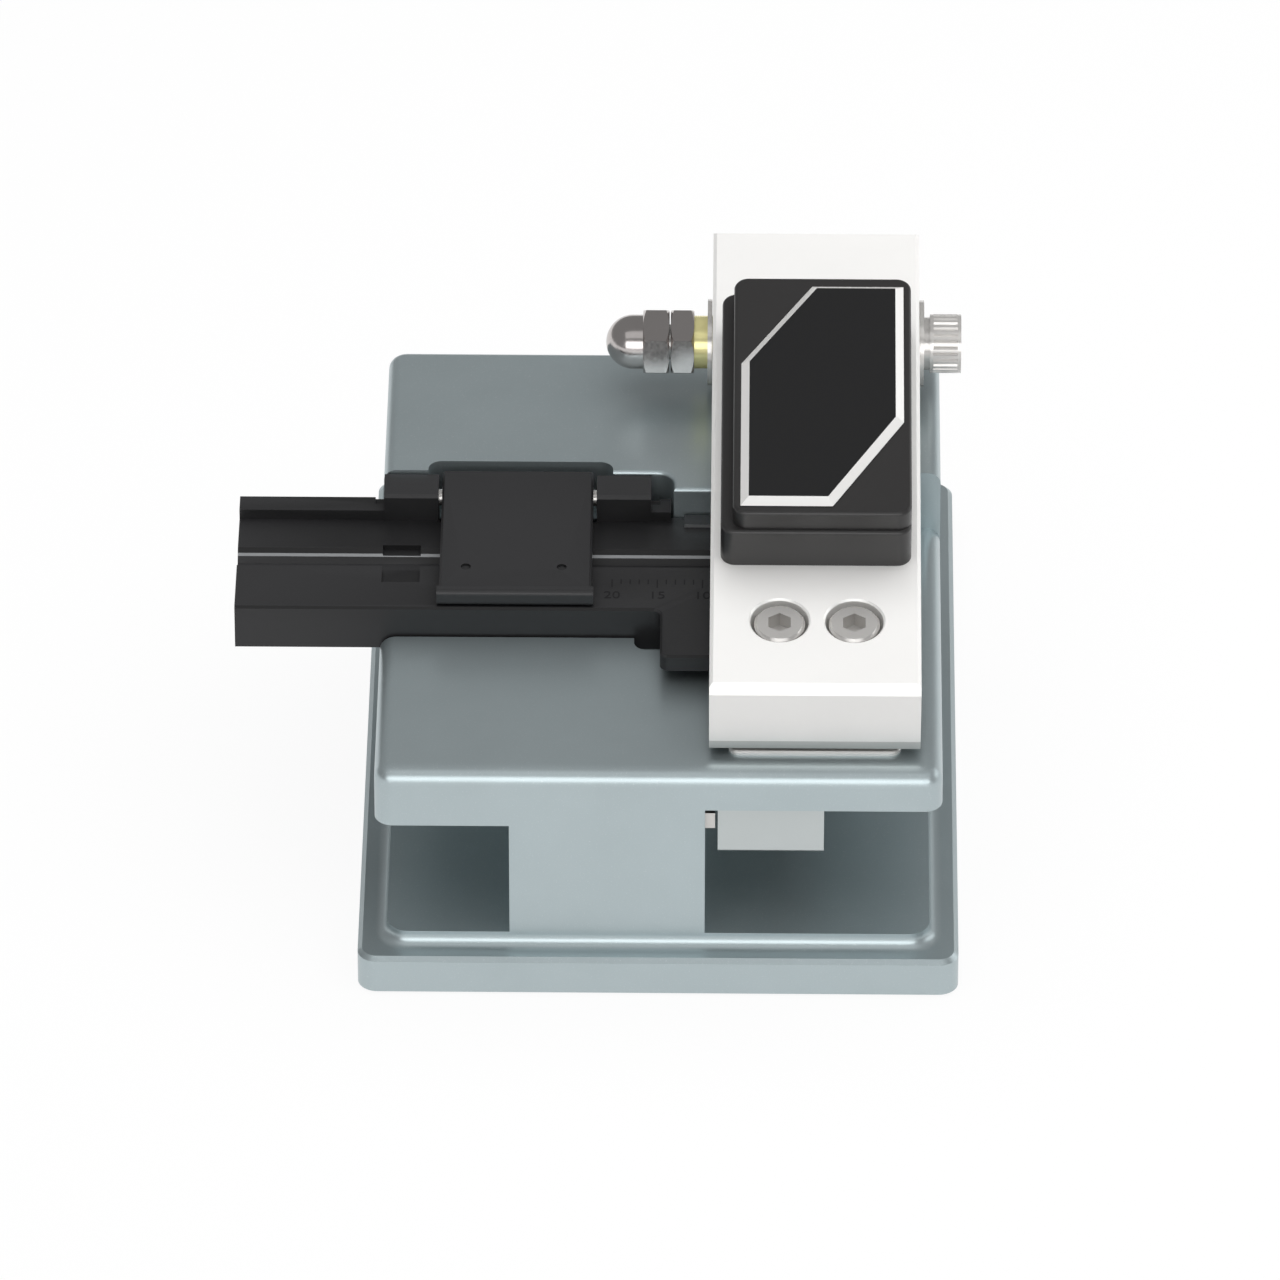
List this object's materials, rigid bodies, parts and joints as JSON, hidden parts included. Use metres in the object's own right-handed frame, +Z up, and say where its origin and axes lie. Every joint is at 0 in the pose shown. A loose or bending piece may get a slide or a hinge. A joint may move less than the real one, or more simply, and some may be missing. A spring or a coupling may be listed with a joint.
{
  "type": "optical fibre cleaver",
  "caption": "Bench tool that cuts optical fibre square: a guide with a small lid, a hinged arm with clamp and anvil, and a round blade on a sliding carriage.",
  "frame": {"origin": "centre of the base's outline, at the level of the table under the rubber feet", "axes": "+Z up; +Y from the user's side to the back, where the arm's hinge is; +X to the right, from the fibre guide to the arm"},
  "size_m": [0.0803, 0.092, 0.0556],
  "materials": {
    "body_metal": "bead-blasted, satin",
    "arm_metal": "fine-milled, satin",
    "guide_metal": "anodised, satin",
    "black_metal": "black anodised, satin",
    "steel": "turned",
    "nut_steel": "polished",
    "blade_steel": "ground and polished",
    "magnet": "nickel plated",
    "brass": "turned",
    "black_plastic": "fine matt",
    "black_plate": "satin black with bright bevels",
    "rubber": "matt"
  },
  "bodies": {
    "frame": {"frame_body": "body_metal", "rubber_feet": "rubber", "fibre_guide": "black_metal", "guide_screws": "steel", "lid_magnet": "magnet", "lid_hinge_pin": "steel", "fibre_rest": "black_metal", "rest_screw": "steel", "lower_clamp_pads": "rubber", "striker_plate": "steel", "striker_screws": "steel", "pivot_sleeve": "brass", "pivot_washers": "steel", "bolt_washer": "steel", "pivot_bolt": "steel", "pivot_lock_nut": "nut_steel", "pivot_cap_nut": "nut_steel", "slide_rail": "steel", "rail_screws": "steel", "slide_stop_pin": "steel"},
    "lid": {"clamp_lid": "black_metal", "lid_pad": "rubber", "lid_steel_disc": "steel"},
    "arm": {"lever_arm": "arm_metal", "nose_plate": "steel", "nose_screws": "steel", "closing_magnet": "magnet", "arm_cover": "black_plastic", "cover_plate": "black_plate", "cover_screws": "steel", "clamp_springs": "steel", "anvil": "black_plastic", "anvil_screw": "steel"},
    "clamp": {"clamp_block": "guide_metal", "upper_clamp_pads": "rubber", "clamp_pins": "steel"},
    "carriage": {"blade_carriage": "guide_metal", "blade_axle": "steel", "blade_lock_screw": "steel"},
    "blade": {"blade_wheel": "blade_steel"}
  },
  "joints": [
    {"name": "arm_hinge", "type": "hinge", "parent": "frame", "child": "arm", "pos_m": [0.01702, 0.0204, 0.0415], "axis": [-1, 0, 0], "range_deg": [0, 75]},
    {"name": "lid_hinge", "type": "hinge", "parent": "frame", "child": "lid", "pos_m": [-0.01605, 0.0014, 0.0334], "axis": [-1, 0, 0], "range_deg": [0, 110]},
    {"name": "blade_slide", "type": "slide", "parent": "frame", "child": "carriage", "axis": [0, 1, 0], "range_m": [0, 0.02]},
    {"name": "blade_turn", "type": "hinge", "parent": "carriage", "child": "blade", "pos_m": [0.0146, -0.0182, 0.02285], "axis": [1, 0, 0], "continuous": true},
    {"name": "clamp_travel", "type": "slide", "parent": "arm", "child": "clamp", "axis": [0, -0.1702, 0.9854], "range_m": [0, 0.001], "stiffness_N_per_m": 500, "springref_m": -0.001, "deforming": ["clamp_springs"]}
  ]
}
